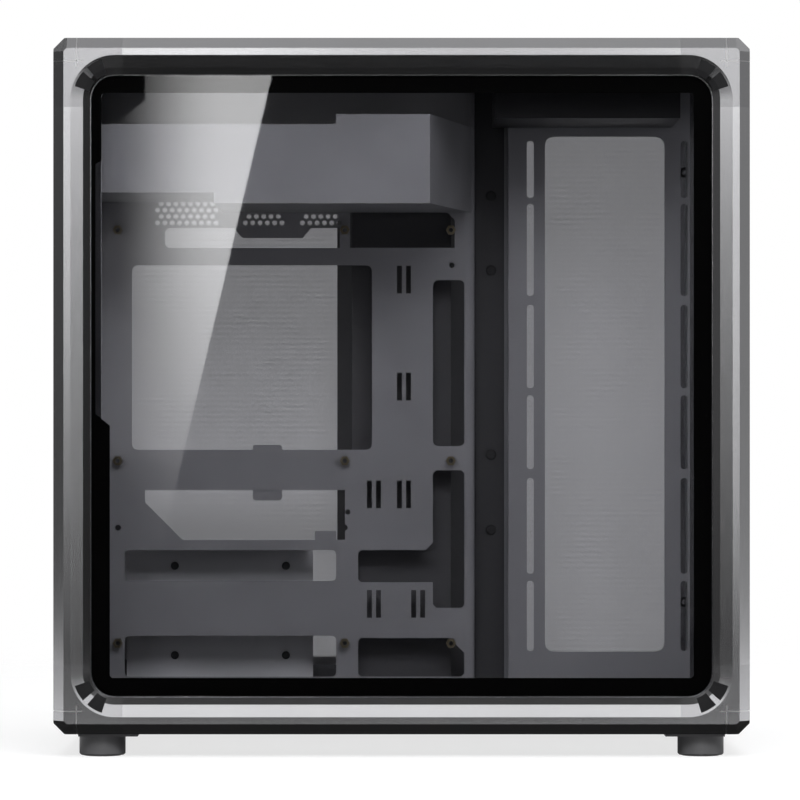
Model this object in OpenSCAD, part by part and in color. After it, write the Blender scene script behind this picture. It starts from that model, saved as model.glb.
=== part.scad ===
/* [Overall] */
// Length of the frame from the rear to the front
case_len = 450; // [445:1:560]
// Width of the frame from the glass side to the cable side
case_w = 290; // [280:1:360]
// Height of the frame without its feet
case_h = 450; // [445:1:560]
// Distance from the floor to the frame
foot_h = 15; // [10:1:30]

/* [Frame rails] */
// Width of a rail beside a panel opening
rail_face = 24; // [22:0.5:30]
// Side of the square tube inside a rail
rail_body = 19; // [15:0.5:21]
// Wall of the rail tube
rail_wall = 2; // [1.5:0.1:3]
// Chamfer along the outer edge of every rail
edge_chamfer = 7; // [4:0.5:8]
// Distance from the outer edge at which the inner bevel starts
bevel_start = 11.5; // [9:0.5:14]
// Distance from the outer edge at which the bevel turns steeper
throat_start = 19.5; // [16:0.5:21]
// Depth of the bevel where it turns steeper
throat_depth = 1.2; // [0.5:0.1:2]
// Depth of the inner bevel at the panel opening
bevel_depth = 3; // [2.5:0.5:3.5]
// Depth of the seat that a panel lies on
seat_depth = 8; // [8:0.5:10]
// Width of the seat lip beyond the rail face
lip_w = 7; // [6:0.5:9]
// Thickness of the seat lip
lip_t = 2; // [1.5:0.1:3]

/* [Corner blocks] */
// Length of a corner block arm from the outer corner
arm = 45; // [40:1:55]
// Radius of the corners of a panel opening
open_r = 16; // [14:0.5:21]
// Plane cut over the outermost point, as the sum of three coordinates
vertex_cut = 16; // [11:1:20]
// Distance of the cap seam from the outer faces
cap_seam = 15; // [12:1:18]
// Width and depth of the cap seam
seam_w = 0.6; // [0.3:0.1:1]
// Side of the spigot that enters a rail
spigot_w = 10; // [8:0.5:11]
// Length of the spigot that enters a rail
spigot_len = 20; // [10:1:30]
// Clearance between the spigot and the rail
spigot_gap = 0.3; // [0.1:0.1:0.6]

/* [Panels] */
// Gap between a panel and the frame around it
panel_gap = 0.5; // [0.3:0.1:1.5]
// Clearance between a lift-off panel and its seat
seat_gap = 0.3; // [0.1:0.1:0.5]
// Thickness of the glass panels
glass_t = 4; // [3:0.5:4]
// Sheet thickness of the outer steel panels
panel_t = 1; // [0.8:0.1:1.5]
// Sheet thickness of the inner steel parts
sheet_t = 1.2; // [0.8:0.1:1.5]
// Diameter of a ball stud that holds a lift-off panel
stud_d = 3.6; // [3:0.2:4]
// Clearance of a ball stud in its hole
stud_gap = 0.6; // [0.4:0.1:1]
// Height of the studs above and below the middle
stud_dz = 150; // [60:1:160]

/* [Board tray] */
// Distance from the rear of the frame to the first column of board holes
board_in = 31.4; // [31:0.1:40]
// Height of the top row of board holes above the lower edge of the panel opening
board_up = 308; // [301:0.5:308]
// Distance from the glass side of the frame to the face of the tray
tray_depth = 200; // [185:1:205]
// Distance from the rear of the frame to the bend of the tray
tray_end = 275; // [272:1:290]
// Outer radius of the bend at the front edge of the tray
tray_bend = 7; // [4:0.5:10]
// Height of the board standoffs
standoff_h = 6.5; // [5:0.5:9]
// Width of a standoff across its flats
standoff_af = 6; // [5:0.5:7]
// Diameter of the standoff thread
standoff_thread = 3; // [2.5:0.1:3.5]
// Depth of the recess between the tray and the fan bracket
recess_d = 18.8; // [12:0.1:25]

/* [Fan bracket] */
// Distance from the front of the frame to the middle of the fans
fan_in = 84.5; // [80:0.5:90]
// Distance between two screw holes of a 120 mm fan
fan_pitch = 105; // [105:1:105]
// Width of the slots for the fan screws
fan_slot_w = 4.8; // [4:0.1:6]
// Width of the opening behind the fans
fan_window_w = 82; // [60:1:90]
// Height of the opening behind the fans
fan_window_h = 352; // [200:1:360]
// Height of the opening above the bottom of the frame
fan_window_z = 44; // [40:1:50]
// Width of the fan bracket plate
bracket_w = 124; // [118:1:130]

/* [Power supply bay] */
// Distance from the top of the frame to the underside of the shroud
shroud_down = 106; // [104:0.5:108]
// Step in the underside of the shroud at its rear end
shroud_step = 7; // [3:0.5:9]
// Length of the stepped rear end of the shroud
shroud_step_len = 104; // [60:1:160]
// Distance from the glass side of the frame to the face of the shroud
shroud_depth = 30; // [28:1:50]
// Distance from the rear of the frame to the front edge of the shroud face
shroud_len = 243.5; // [180:0.5:250]
// Distance that the shroud's end wall slants forward to the tray
shroud_slant = 29.5; // [10:0.5:31]
// Height of the shroud's face behind its raised front part
shroud_face_h = 51.5; // [40:0.5:85]
// Rise of the face's top edge at the front
shroud_rise = 6.5; // [2:0.5:9]
// Length of the raised front part
shroud_rise_len = 61; // [30:1:90]
// Width of the hem folded back along the top edge
shroud_hem = 7; // [4:0.5:9]
// Width of the power supply
psu_w = 150; // [150:1:150]
// Height of the power supply
psu_h = 86; // [86:1:86]

/* [Rear panel] */
// Depth of the rear panel's recess behind its seat
rear_recess = 11.2; // [11.2:0.1:14]
// Height of the board connector opening
io_h = 158.75; // [158.75:0.01:158.75]
// Width of the board connector opening
io_w = 44.45; // [44.45:0.01:44.45]
// Number of expansion slots
slot_count = 7; // [7:1:7]
// Distance between two expansion slots
slot_pitch = 20.32; // [20.32:0.01:20.32]
// Width of an expansion slot opening
slot_w = 13; // [12:0.1:14]
// Length of an expansion slot opening
slot_len = 103; // [95:1:103]
// Width of a slot cover
cover_w = 18.4; // [17:0.1:19]
// Thickness of a slot cover
cover_t = 0.9; // [0.7:0.1:1.2]
// Diameter of the rear fan grille
grille_d = 112; // [100:1:114]
// Distance between two cells of the rear grille
cell_pitch = 9; // [8:0.5:12]
// Width of the web between two cells of the rear grille
cell_web = 1.6; // [1.2:0.1:2.5]

/* [Feet] */
// Diameter of a foot
foot_d = 30; // [24:1:34]
// Distance of a foot's middle from the outer faces of the frame
foot_in = 30.5; // [28:0.5:34]
// Thickness of the plate above a foot
foot_plate_t = 2; // [1:0.5:3]
// Distance that the plate reaches inwards past the middle of the foot
foot_plate_in = 23.5; // [18:0.5:30]
// Diameter of the rubber pad under a foot
pad_d = 24; // [16:1:28]
// Diameter of the tapped hole for a foot screw
foot_bore = 5; // [4:0.1:6]

/* [Front sockets and button] */
// Distance from the front of the frame to the middle of the socket strip
strip_in = 65; // [60:1:80]
// Width of the socket strip
strip_w = 24; // [20:1:30]
// Length of the socket strip
strip_len = 104; // [100:1:120]
// Diameter of the power button
button_d = 14; // [10:0.5:16]
// Gap around the power button
button_gap = 0.4; // [0.3:0.1:0.8]
// Travel of the power button
button_travel = 1.2; // [0.8:0.1:1.5]
// Height of the power button above the strip
button_proud = 0.6; // [0.2:0.1:1.5]
// Depth of the socket housing below the top of the frame
housing_down = 48; // [44:1:60]

/* [Hidden] */

// Straight overshoot of every cutting tool
cut = 1;
// Facets of small round holes
hole_fn = 24;
// Thickness of a filter's mesh
mesh_t = 0.4;

frame_top = foot_h + case_h;
frame_mid = foot_h + case_h / 2;
open_len = case_len - 2 * rail_face;
open_w = case_w - 2 * rail_face;
open_h = case_h - 2 * rail_face;
seat_under = seat_depth + lip_t;
rear_seat_x = -case_len / 2 + seat_depth;
rear_in_x = rear_seat_x + rear_recess;
floor_z = foot_h + seat_under + sheet_t;
ceiling_z = frame_top - seat_under - 2;

tray_y = -case_w / 2 + tray_depth;
board_x = -case_len / 2 + board_in;
board_z = foot_h + rail_face + board_up;
// Columns and rows of the board holes, from the first hole at the top
board_cols = [0, 154.94, 227.33];
board_rows = [0, -157.48, -281.94];
board_row_short = -203.2;

tray_front_x = -case_len / 2 + tray_end;
flat_x = tray_front_x - tray_bend;
bracket_x0 = case_len / 2 - fan_in - bracket_w / 2 - 5.5;
recess_y = tray_y + recess_d;

shroud_z = frame_top - shroud_down;
shroud_y = -case_w / 2 + shroud_depth;
shroud_step_x = -case_len / 2 + shroud_step_len;
shroud_end_x = -case_len / 2 + shroud_len;
psu_z = shroud_z + shroud_step + sheet_t + 0.3;
psu_y = -open_w / 2 + lip_w + 9;
// Screw holes of the power supply, from its lower corner on the glass side
psu_holes = [[6, 80], [120, 80], [6, 16], [144, 6]];

board_face_y = tray_y - standoff_h - 1.6;
io_y1 = board_face_y + 3.8;
io_z1 = board_z + 6.35;
slot_z0 = board_z - 288.5;
slot_y1 = board_face_y - 1;
shelf_y = slot_y1 - slot_len - sheet_t;
fan_y = -54.5;
fan_z = board_z - 53;

// Screws of the supply plate, beside the power supply
thumb_y = [psu_y - 2, tray_y - 8];
thumb_z = frame_mid + open_h / 2 - 40;

strip_x = case_len / 2 - strip_in;
strip_y = -10;
strip_top = frame_top - bevel_depth - 0.7;
housing_z = frame_top - housing_down;
housing_t = 2;
board_top_z = strip_top - 14;
button_y = strip_y - strip_len / 2 + 14;

// Outline of a rectangle with rounded corners
function round_rect(a, b, r, n = 8) = [
    for (q = [0:3], i = [0:n])
        let (an = 90 * q + 90 * i / n, sx = q == 0 || q == 3 ? 1 : -1, sy = q < 2 ? 1 : -1)
        [sx * (a / 2 - r) + r * cos(an), sy * (b / 2 - r) + r * sin(an)]
];

// Outline of a slot with round ends, along the first axis
function slot_outline(l, w, n = 4) = [
    for (s = [1, -1], i = [0:n])
        s * [(l - w) / 2 + w / 2 * sin(180 * i / n), w / 2 * cos(180 * i / n)]
];

// Rectangle between two corners
module rect(x0, x1, y0, y1) {
    translate([x0, y0]) square([x1 - x0, y1 - y0]);
}

// Rectangle with rounded corners between two corners
module soft_rect(x0, x1, y0, y1, r = 2.5) {
    translate([(x0 + x1) / 2, (y0 + y1) / 2]) polygon(round_rect(x1 - x0, y1 - y0, r, 3));
}

// Slot whose ends are true arcs
module screw_slot(l, w) {
    square([l - w, w], center = true);
    for (s = [-1, 1]) translate([s * (l - w) / 2, 0]) circle(d = w, $fn = hole_fn);
}

// Sheets that stand along X, stand along Y, or lie flat
module plate_xz(y, t) {
    translate([0, y + t, 0]) rotate([90, 0, 0]) linear_extrude(t) children();
}
module plate_yz(x, t) {
    translate([x, 0, 0]) rotate([90, 0, 90]) linear_extrude(t) children();
}
module plate_xy(z, t) {
    translate([0, 0, z]) linear_extrude(t) children();
}

// Places a piece that is drawn inwards from a corner of the frame
module at_corner(sx, sy, sz) {
    translate([sx * case_len / 2, sy * case_w / 2, frame_mid + sz * case_h / 2])
        mirror([sx > 0 ? 1 : 0, 0, 0]) mirror([0, sy > 0 ? 1 : 0, 0]) mirror([0, 0, sz > 0 ? 1 : 0])
            children();
}

// Turns the axes of a piece one step round: X to Y to Z to X, or the other way
module turn(step) {
    if (step == 0) children();
    if (step == 1) rotate([90, 0, 90]) children();
    if (step == 2) rotate([-90, -90, 0]) children();
}

// Cavity of a rail, from its outer edge at the origin
module rail_cavity() {
    c = edge_chamfer;
    inner = rail_body - rail_wall;
    w = rail_wall;
    polygon([
        [c + w / 2, w], [bevel_start, w], [inner, w + bevel_depth / 2], [inner, inner],
        [w + bevel_depth / 2, inner], [w, bevel_start], [w, c + w / 2]
    ]);
}

// Section of a rail, from its outer edge at the origin
module rail_section() {
    c = edge_chamfer;
    difference() {
        polygon([
            [c, 0], [bevel_start, 0], [throat_start, throat_depth], [rail_face, bevel_depth],
            [rail_face, seat_depth], [rail_face + lip_w, seat_depth], [rail_face + lip_w, seat_under],
            [rail_body, seat_under], [rail_body, rail_body], [seat_under, rail_body],
            [seat_under, rail_face + lip_w], [seat_depth, rail_face + lip_w], [seat_depth, rail_face],
            [bevel_depth, rail_face], [throat_depth, throat_start], [0, bevel_start], [0, c]
        ]);
        rail_cavity();
    }
}

// Rails along the length, across the width, and upright
module rail_x(sy, sz) {
    color("silver") at_corner(-1, sy, sz)
        translate([arm, 0, 0]) turn(1) linear_extrude(case_len - 2 * arm) rail_section();
}
module rail_y(sx, sz) {
    color("silver") at_corner(sx, -1, sz)
        translate([0, arm, 0]) turn(2) linear_extrude(case_w - 2 * arm) rail_section();
}
module post(sx, sy) {
    color("silver") at_corner(sx, sy, -1) difference() {
        translate([0, 0, arm]) linear_extrude(case_h - 2 * arm) rail_section();
        for (s = [-1, 1])
            translate([rail_face + lip_w / 2, seat_depth - cut, case_h / 2 + s * stud_dz])
                rotate([-90, 0, 0]) cylinder(d = stud_d + stud_gap, h = lip_t + 2 * cut, $fn = hole_fn);
    }
}

// Funnel that one panel opening cuts out of a corner block
module seat_cut() {
    slope = (throat_start - bevel_start) / throat_depth;
    mid = rail_face + open_r;
    far = 2 * arm;
    translate([mid, mid, 0]) {
        translate([0, 0, -cut]) cylinder(r1 = mid - bevel_start + slope * cut, r2 = mid - throat_start,
                                         h = throat_depth + cut, $fn = 96);
        translate([0, 0, throat_depth])
            cylinder(r1 = mid - throat_start, r2 = open_r, h = bevel_depth - throat_depth, $fn = 96);
        cylinder(r = open_r, h = seat_depth, $fn = 96);
        cylinder(r = open_r - lip_w, h = seat_under + cut, $fn = 96);
    }
    // Straight run of the opening's edge, along both arms
    for (a = [0, 1]) mirror([a, -a, 0]) translate([mid, 0, 0]) turn(1) linear_extrude(far) polygon([
        [far, -cut], [bevel_start - slope * cut, -cut], [throat_start, throat_depth], [rail_face, bevel_depth],
        [rail_face, seat_depth], [rail_face + lip_w, seat_depth], [rail_face + lip_w, seat_under + cut],
        [far, seat_under + cut]
    ]);
}

// Section of a spigot: a square that keeps its clearance to the rail's cavity
module spigot_section() {
    inner = rail_body - rail_wall - spigot_gap;
    intersection() {
        rect(inner - spigot_w, inner, inner - spigot_w, inner);
        translate(spigot_gap * [1, 1]) rail_cavity();
    }
}

// Corner block, drawn inwards from its outermost point
module corner_block(with_foot) {
    difference() {
        union() {
            difference() {
                union() {
                    for (a = [0:2]) turn(a) cube([arm, rail_body, rail_body]);
                    for (a = [0:2]) turn(a) cube([arm, arm, seat_under]);
                }
                for (a = [with_foot ? 1 : 0 : 2]) turn(a) seat_cut();
            }
            for (a = [0:2]) turn(a) translate([arm - cut, 0, 0]) turn(1) linear_extrude(spigot_len + cut)
                spigot_section();
        }
        for (a = [0:2])
            turn(a) turn(1) translate([0, 0, -cut]) linear_extrude(arm + 2 * cut)
                polygon([[-cut, -cut], [edge_chamfer + cut, -cut], [-cut, edge_chamfer + cut]]);
        translate(vertex_cut / 3 * [1, 1, 1]) rotate(a = acos(1 / sqrt(3)), v = [-1, 1, 0])
            translate([-arm, -arm, -arm]) cube([2 * arm, 2 * arm, arm]);
        for (a = [0:2])
            turn(a) turn(1) translate([0, 0, cap_seam]) linear_extrude(seam_w) difference() {
                translate([-cut, -cut]) square(rail_body + 2 * cut);
                polygon([
                    [edge_chamfer + seam_w / 2, seam_w], [rail_body + 2 * cut, seam_w],
                    [rail_body + 2 * cut, rail_body + 2 * cut], [seam_w, rail_body + 2 * cut],
                    [seam_w, edge_chamfer + seam_w / 2]
                ]);
            }
        if (with_foot)
            translate([foot_in, foot_in, -cut])
                cylinder(d = foot_bore, h = seat_under + 2 * cut, $fn = hole_fn);
    }
}
module corner_piece(sx, sy, sz) {
    color("gray") at_corner(sx, sy, sz) corner_block(sz < 0);
}

// Outline of a panel that fills an opening of the frame
module panel_outline(a, b, inset = 0) {
    polygon(round_rect(a - 2 * (panel_gap + inset), b - 2 * (panel_gap + inset), open_r - panel_gap - inset));
}

// Steel panel with folded edges: outer face down at zero, folds upwards
module folded_panel(a, b, fold) {
    difference() {
        linear_extrude(fold) panel_outline(a, b);
        translate([0, 0, panel_t]) linear_extrude(fold) panel_outline(a, b, panel_t);
    }
}

glass_depth = seat_depth - seat_gap - glass_t;
fold_h = seat_depth - seat_gap - bevel_depth - 0.7;
fold_depth = bevel_depth + 0.7;

module side_glass() {
    color([0.1, 0.1, 0.12, 0.5]) translate([0, 0, frame_mid])
        plate_xz(-case_w / 2 + glass_depth, glass_t) panel_outline(open_len, open_h);
}
module front_glass() {
    color([0.1, 0.1, 0.12, 0.5]) translate([0, 0, frame_mid])
        plate_yz(case_len / 2 - seat_depth, glass_t) panel_outline(open_w, open_h);
}

// Ball studs on the inside of a lift-off panel, in four corners
module stud_set(base, reach) {
    for (sx = [-1, 1], sz = [-1, 1])
        translate([sx * (case_len / 2 - rail_face - lip_w / 2), base, frame_mid + sz * stud_dz])
            rotate([-90, 0, 0]) rotate_extrude($fn = hole_fn) polygon([
                [0, 0], [stud_d / 2, 0], [stud_d / 2, reach - 4.6], [stud_d / 2 - 0.8, reach - 4.2],
                [stud_d / 2 - 0.8, reach - 3.6], [stud_d / 2, reach - 2.8], [stud_d / 2, reach - 1.2],
                [stud_d / 2 - 1, reach], [0, reach]
            ]);
}
module side_glass_studs() {
    color("dimgray") stud_set(-case_w / 2 + glass_depth + glass_t, 8);
}
module right_panel() {
    color("gainsboro") translate([0, case_w / 2 - fold_depth, frame_mid])
        rotate([90, 0, 0]) folded_panel(open_len, open_h, fold_h);
}
module right_panel_studs() {
    reach = 8 + fold_h - panel_t;
    color("dimgray") mirror([0, 1, 0]) stud_set(-case_w / 2 + fold_depth + panel_t, reach);
}

// Field of vent slots, in rows along the first axis
module vent_field(a, b, l, w, px, py) {
    nx = floor((a - l) / px);
    ny = floor((b - w) / py);
    for (i = [0:nx], j = [0:ny])
        translate([(i - nx / 2) * px, (j - ny / 2) * py]) polygon(slot_outline(l, w));
}

module top_panel() {
    vent_len = housing_x0 - 8 + open_len / 2 - 25;
    color("dimgray") difference() {
        translate([0, 0, frame_top - fold_depth]) mirror([0, 0, 1]) folded_panel(open_len, open_w, fold_h);
        translate([-open_len / 2 + 25 + vent_len / 2, 0, frame_top - fold_depth - panel_t - cut])
            linear_extrude(panel_t + 2 * cut) vent_field(vent_len, open_w - 40, 44, 5, 50, 10);
        translate([strip_x, strip_y, frame_top - fold_depth - panel_t - cut])
            linear_extrude(panel_t + 2 * cut) polygon(round_rect(strip_w, strip_len, 4, 4));
    }
}
module top_filter() {
    filter_t = 1.2;
    filter_len = housing_x0 - 1 + open_len / 2 - 18;
    bay = (filter_len - 16) / 3;
    color("black") translate([-open_len / 2 + 18 + filter_len / 2, 0, 0])
        plate_xy(frame_top - fold_depth - panel_t - filter_t, filter_t) difference() {
            square([filter_len, open_w - 20], center = true);
            for (i = [-1:1])
                translate([i * (bay + 3), 0]) square([bay - 6, open_w - 36], center = true);
        }
    // The stretched mesh, as a plain sheet
    color("dimgray") translate([-open_len / 2 + 18 + filter_len / 2, 0, 0])
        plate_xy(frame_top - fold_depth - panel_t - filter_t, mesh_t)
            square([filter_len - 4, open_w - 24], center = true);
}

// The bottom panel lies on the seat lips from inside, between the rail tubes
module bottom_panel() {
    inset = 2 * (rail_body + panel_gap);
    color("dimgray") plate_xy(floor_z - sheet_t, sheet_t) difference() {
        square([case_len - inset, case_w - inset], center = true);
        for (i = [-1:1])
            translate([i * 112, -30]) vent_field(104, 110, 30, 5, 36, 10);
    }
}
module bottom_filter() {
    filter_t = 3;
    rim = 8;
    color("black") translate([0, -30, 0]) plate_xy(floor_z - sheet_t - filter_t - seat_gap, filter_t)
        difference() {
            polygon(round_rect(342, 128, 6, 4));
            for (i = [-1:1])
                translate([i * 111, 0]) square([111 - rim, 128 - 2 * rim], center = true);
        }
    color("dimgray") translate([0, -30, 0]) plate_xy(floor_z - sheet_t - mesh_t - seat_gap, mesh_t)
        square([342 - rim, 128 - rim], center = true);
}

// Cells of a hexagonal grille inside a circle
module grille_cells(d, pitch, web) {
    n = ceil(d / pitch);
    rise = pitch * sqrt(3) / 2;
    cell = (pitch - web) / sqrt(3);
    for (j = [-n:n], i = [-n:n])
        let (x = (i + (j % 2 == 0 ? 0 : 0.5)) * pitch, y = j * rise)
            if (norm([x, y]) < d / 2 - cell) translate([x, y]) rotate(30) circle(r = cell, $fn = 6);
}

module rear_panel() {
    pan_w = open_w - 2 * lip_w - 2 * panel_gap;
    pan_h = open_h - 2 * lip_w - 2 * panel_gap;
    pan_r = open_r - lip_w - panel_gap;
    slot_field = slot_pitch * (slot_count - 1);
    color("dimgray") {
        plate_yz(rear_seat_x - sheet_t, sheet_t) translate([0, frame_mid]) difference() {
            panel_outline(open_w, open_h);
            polygon(round_rect(pan_w - 2 * sheet_t, pan_h - 2 * sheet_t, pan_r - sheet_t));
        }
        plate_yz(rear_seat_x - sheet_t / 2, rear_recess - sheet_t / 2) translate([0, frame_mid]) difference() {
            polygon(round_rect(pan_w, pan_h, pan_r));
            polygon(round_rect(pan_w - 2 * sheet_t, pan_h - 2 * sheet_t, pan_r - sheet_t));
        }
        plate_yz(rear_in_x - sheet_t, sheet_t) difference() {
            translate([0, frame_mid]) polygon(round_rect(pan_w, pan_h, pan_r));
            soft_rect(io_y1 - io_w, io_y1, io_z1 - io_h, io_z1, 1);
            for (i = [0:slot_count - 1])
                translate([slot_y1 - slot_len / 2 + 0.8, slot_z0 + i * slot_pitch])
                    square([slot_len - 1.6, slot_w], center = true);
            rect(shelf_y - 14, shelf_y, slot_z0 - 10.5, slot_z0 + slot_field + 10.5);
            translate([fan_y, fan_z]) grille_cells(grille_d, cell_pitch, cell_web);
            for (sy = [-1, 1], sz = [-1, 1])
                translate([fan_y + sy * fan_pitch / 2, fan_z + sz * fan_pitch / 2])
                    circle(d = 4.4, $fn = hole_fn);
            soft_rect(psu_y + 4, psu_y + psu_w - 4, psu_z + 1, frame_mid + pan_h / 2 - 4, 3);
            for (y = thumb_y) translate([y, thumb_z]) circle(d = 3.6, $fn = hole_fn);
            for (i = [0:9])
                translate([(tray_y + pan_w / 2) / 2, frame_mid - 135 + 30 * i])
                    polygon(slot_outline(36, 5));
        }
        translate([rear_in_x - sheet_t - 10, shelf_y, slot_z0 - 10.5]) difference() {
            cube([10 + sheet_t, sheet_t, slot_field + 21]);
            for (i = [0:slot_count - 1])
                translate([4.5, -cut, 10.5 + i * slot_pitch]) rotate([-90, 0, 0])
                    cylinder(d = 3, h = sheet_t + 2 * cut, $fn = hole_fn);
        }
    }
}

module slot_cover(i) {
    z = slot_z0 + i * slot_pitch;
    color("silver") {
        translate([rear_in_x, shelf_y - cover_t, z - cover_w / 2])
            cube([cover_t, slot_len + 5, cover_w]);
        difference() {
            translate([rear_in_x - sheet_t - 10, shelf_y - cover_t, z - cover_w / 2])
                cube([10 + sheet_t + cover_t, cover_t, cover_w]);
            translate([rear_in_x - sheet_t - 5.5, shelf_y - cover_t - cut, z]) rotate([-90, 0, 0])
                cylinder(d = 3.6, h = cover_t + 2 * cut, $fn = hole_fn);
        }
    }
}
module slot_screws() {
    color("black") for (i = [0:slot_count - 1])
        translate([rear_in_x - sheet_t - 5.5, shelf_y - cover_t, slot_z0 + i * slot_pitch])
            rotate([-90, 0, 0]) {
                translate([0, 0, -2.6]) cylinder(d = 7.4, h = 2.6, $fn = 6);
                translate([0, 0, -cut]) cylinder(d = 2.8, h = 5 + cut, $fn = hole_fn);
            }
}

module psu_bracket() {
    color("dimgray") plate_yz(rear_in_x, sheet_t) difference() {
        rect(psu_y - 6, tray_y - 4, psu_z - 0.3, psu_z + psu_h);
        for (y = thumb_y) translate([y, thumb_z]) circle(d = 3, $fn = hole_fn);
        difference() {
            soft_rect(psu_y + 12, psu_y + psu_w - 12, psu_z + 10, psu_z + psu_h - 12, 3);
            translate([psu_y + 144, psu_z + 6]) circle(d = 20, $fn = hole_fn);
        }
        for (h = psu_holes) translate([psu_y + h[0], psu_z + h[1]]) circle(d = 3.8, $fn = hole_fn);
    }
}

// Window in the tray, from the first board hole
module tray_window(x, z, w, h, r = 2.5) {
    soft_rect(board_x + x, board_x + x + w, board_z + z, board_z + z + h, r);
}
module tie_points() {
    spots = [[195.3, -33.7], [195.3, -106.8], [195.3, -180.5], [174.8, -180.5], [174.8, -255.3], [205, -255.3]];
    for (p = spots, s = [-1, 1])
        translate([board_x + p[0] + s * 3.1, board_z + p[1]]) polygon([
            [-1.7, -9.5], [1.7, -9.5], [1.7, 9.5], [-1.7, 9.5]
        ]);
}
module perforation(x0, x1, z0, z1) {
    pitch = 5;
    nx = floor((x1 - x0) / pitch);
    nz = floor((z1 - z0) / (pitch * 0.87));
    for (i = [0:nx], j = [0:nz])
        if (j % 2 == 0 || i < nx)
            translate([board_x + x0 + (i + (j % 2) / 2) * pitch, board_z + z0 + j * pitch * 0.87])
                rotate(30) circle(d = 3.6, $fn = 6);
}
module tray_cuts() {
    // Cooler opening, and the opening below it with one slanted end
    tray_window(9.5, -150, 164, 126, 4);
    translate([board_x, board_z]) polygon([
        [18.5, -177.5], [155, -177.5], [155, -211.5], [149, -211.5], [149, -205.5], [134.5, -205.5],
        [134.5, -211.5], [44, -211.5], [18.5, -186]
    ]);
    // Upright cable openings beside the board, the lower one with a foot
    tray_window(215, -147.5, 22, 113.5, 4);
    translate([board_x, board_z]) polygon([
        [215, -166.5], [217.5, -164], [234.5, -164], [237, -166.5], [237, -255.5], [234.5, -258],
        [217.5, -258], [215, -255.5], [215, -240.5], [166, -240.5], [164, -238.5], [164, -220.5],
        [166, -218.5], [210, -218.5], [215, -213.5]
    ]);
    // Cable openings along the bottom and two long ones at the drive plate
    translate([board_x, board_z]) polygon([
        [164, -303], [166, -305], [234.5, -305], [237, -302.5], [237, -289], [226, -278.5], [166, -278.5],
        [164, -280.5]
    ]);
    tray_window(4.5, -239.5, 144.5, 21, 3);
    tray_window(4.5, -305, 144.5, 28, 3);
    // Cable openings along the top edge of the board
    translate([board_x, board_z]) polygon([
        [158.5, 17], [220, 17], [230, 7], [230, -12], [158.5, -12]
    ]);
    translate([board_x, board_z]) polygon([
        [34.5, 1.5], [79, 1.5], [85, -5.5], [126, -5.5], [132, 1.5], [151.5, 1.5], [151.5, -12.2],
        [34.5, -12.2], [32, -9.7], [32, -1]
    ]);
    perforation(27, 71, 5, 21);
    perforation(87, 113, 5, 11);
    perforation(126, 153, 5, 11);
    tie_points();
    for (x = board_cols, z = concat(board_rows, [board_row_short]))
        translate([board_x + x, board_z + z]) circle(d = standoff_thread + 1, $fn = hole_fn);
    for (p = [[228, -24], [157, -192.5]])
        translate([board_x + p[0], board_z + p[1]]) circle(d = 3.6, $fn = hole_fn);
}
module motherboard_tray() {
    color("dimgray") {
        plate_xz(tray_y, sheet_t) difference() {
            rect(rear_in_x, flat_x, floor_z, ceiling_z);
            tray_cuts();
        }
        // Bridge with a screw hole between the two large openings
        plate_xz(tray_y + sheet_t, sheet_t) difference() {
            soft_rect(board_x + 92, board_x + 112, board_z - 184.5, board_z - 146.5, 2);
            translate([board_x + 102, board_z - 159]) circle(d = 3.6, $fn = hole_fn);
        }
    }
}

// Edge strips of the tray, spot-welded to it at the front, the floor and the rear
module tray_edges() {
    bend = [for (i = [0:6]) 90 - 15 * i];
    color("dimgray") {
        // Rounded front edge and the flange behind it
        plate_xy(floor_z, ceiling_z - floor_z) polygon(concat(
            [for (a = bend) [flat_x + tray_bend * cos(a), tray_y + tray_bend - tray_bend * sin(a)]],
            [[tray_front_x, recess_y], [tray_front_x - sheet_t, recess_y]],
            [for (i = [6:-1:0]) let (r = tray_bend - sheet_t)
                [flat_x + r * cos(bend[i]), tray_y + tray_bend - r * sin(bend[i])]]
        ));
        // Flanges along the floor and behind the rear panel
        translate([rear_in_x, tray_y + sheet_t, floor_z]) cube([flat_x - rear_in_x, 13, sheet_t]);
        translate([rear_in_x, tray_y + sheet_t, floor_z]) cube([sheet_t, 11, ceiling_z - floor_z]);
    }
}
module standoffs() {
    color("goldenrod") for (x = board_cols, z = board_rows)
        translate([board_x + x, tray_y, board_z + z]) rotate([90, 0, 0]) difference() {
            union() {
                cylinder(d = standoff_af / cos(30), h = standoff_h, $fn = 6);
                translate([0, 0, -sheet_t])
                    cylinder(d = standoff_thread + 0.8, h = sheet_t + cut, $fn = hole_fn);
            }
            translate([0, 0, -sheet_t - cut])
                cylinder(d = standoff_thread, h = standoff_h + sheet_t + 2 * cut, $fn = hole_fn);
        }
}

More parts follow.
